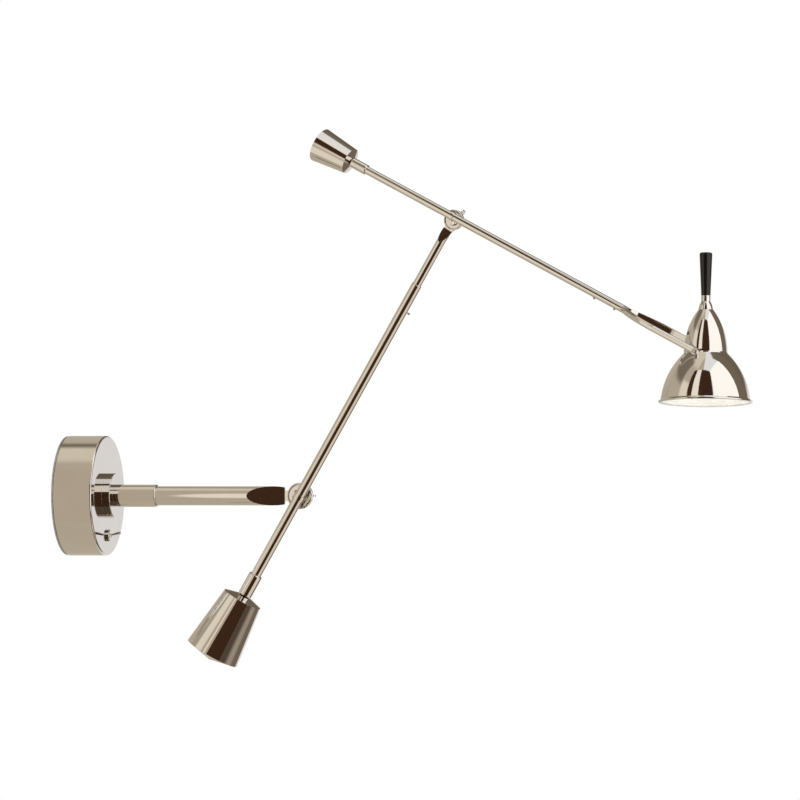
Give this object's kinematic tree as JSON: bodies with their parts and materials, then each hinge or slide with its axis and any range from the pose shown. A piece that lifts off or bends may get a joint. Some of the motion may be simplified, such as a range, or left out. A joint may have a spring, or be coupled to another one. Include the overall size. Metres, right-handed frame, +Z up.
{
  "type": "articulating wall lamp",
  "caption": "Counterbalanced wall lamp: a fixed arm on a round canopy carries two hinged, turning arms and a forked head with a bell shade.",
  "frame": {"origin": "centre of the canopy on the wall plane", "axes": "+X out of the wall along the fixed arm, +Z up, -Y towards the side on which the switch and the dished elbows face"},
  "size_m": [0.9131, 0.2226, 0.6735],
  "materials": {
    "nickel": "polished warm nickel plating",
    "clamp": "polished warm nickel plating",
    "screw_steel": "machined steel",
    "zinc_steel": "zinc plated steel sheet",
    "brass": "turned brass",
    "fibre": "pressed fibre",
    "terminal_plastic": "moulded plastic",
    "handle_black": "polished black",
    "holder_plastic": "white moulding",
    "bulb_cap": "threaded cap",
    "white_enamel": "white enamel inside the shade",
    "bulb_glass": "frosted glass"
  },
  "bodies": {
    "mount_body": {"wall_plate": "zinc_steel", "bridge_bracket": "zinc_steel", "bridge_screws": "screw_steel", "canopy_shell": "nickel", "mounting_flange": "nickel", "flange_set_screw": "screw_steel", "stem": "brass", "stem_washer_plate": "screw_steel", "stem_nut": "screw_steel", "arm_socket": "nickel", "socket_grub_screw": "screw_steel", "terminal_block": "terminal_plastic", "switch_body_case": "terminal_plastic", "switch_nut": "nickel"},
    "switch": {"switch_lever": "nickel"},
    "wall_arm": {"wall_tube": "nickel", "lower_housing": "nickel", "lower_back_washer": "screw_steel"},
    "lower_clamp": {"lower_wing_screw": "clamp"},
    "lower_arm": {"lower_hub": "nickel", "lower_friction_washer": "fibre", "lower_tube": "nickel", "thrust_bush_ring": "brass", "lower_lock_screw": "screw_steel", "lower_weight": "nickel", "lower_sleeve": "nickel", "lower_weight_stud": "screw_steel"},
    "swivel": {"inner_tube": "nickel", "upper_housing": "nickel", "upper_back_washer": "screw_steel"},
    "upper_clamp": {"upper_wing_screw": "clamp"},
    "upper_arm": {"upper_hub": "nickel", "upper_friction_washer": "fibre", "upper_tube": "nickel", "upper_weight": "nickel", "upper_sleeve": "nickel", "upper_weight_stud": "screw_steel", "roll_stop_screw": "screw_steel"},
    "head": {"head_stub": "nickel", "stub_screw": "screw_steel", "head_fork": "nickel", "shade_pivot_screws": "screw_steel"},
    "shade": {"shade_dome": "nickel", "shade_bell": "nickel", "bell_lining": "white_enamel", "dome_lining": "white_enamel", "shade_pivot_bushes": "brass", "shade_cap": "nickel", "handle": "handle_black", "handle_stud_bolt": "screw_steel", "shade_nipple": "brass", "nipple_nut": "screw_steel", "lamp_holder": "holder_plastic", "bulb_base": "bulb_cap", "bulb_globe": "bulb_glass"}
  },
  "joints": [
    {"name": "switch_rock", "type": "hinge", "parent": "mount_body", "child": "switch", "pos_m": [0.0532, 0, -0.05], "axis": [0, -1, 0], "range_deg": [-25, 0]},
    {"name": "arm_roll", "type": "hinge", "parent": "mount_body", "child": "wall_arm", "pos_m": [0.2, 0, 0], "axis": [1, 0, 0], "range_deg": [-90, 90]},
    {"name": "lower_clamp_turn", "type": "hinge", "parent": "wall_arm", "child": "lower_clamp", "pos_m": [0.3015, 0.012, 0], "axis": [0, -1, 0], "range_deg": [0, 270]},
    {"name": "lower_elbow", "type": "hinge", "parent": "wall_arm", "child": "lower_arm", "pos_m": [0.3015, -0.0095, 0], "axis": [0, -1, 0], "range_deg": [-35, 35]},
    {"name": "swivel_turn", "type": "hinge", "parent": "lower_arm", "child": "swivel", "pos_m": [0.45444, -0.0095, 0.25811], "axis": [0.5, 0, 0.866], "range_deg": [-110, 130]},
    {"name": "upper_clamp_turn", "type": "hinge", "parent": "swivel", "child": "upper_clamp", "pos_m": [0.5059, -0.00162, 0.34445], "axis": [-0.1504, -0.9848, 0.0868], "range_deg": [0, 270]},
    {"name": "upper_elbow", "type": "hinge", "parent": "swivel", "child": "upper_arm", "pos_m": [0.50381, -0.01531, 0.34565], "axis": [-0.1504, -0.9848, 0.0868], "range_deg": [-50, 60]},
    {"name": "head_roll", "type": "hinge", "parent": "upper_arm", "child": "head", "pos_m": [0.73074, -0.05946, 0.23799], "axis": [0.883, -0.1733, -0.4363], "range_deg": [-150, 150]},
    {"name": "shade_tilt", "type": "hinge", "parent": "head", "child": "shade", "pos_m": [0.85277, -0.08341, 0.17769], "axis": [-0.1504, -0.9848, 0.0868], "range_deg": [-38, 40]}
  ]
}
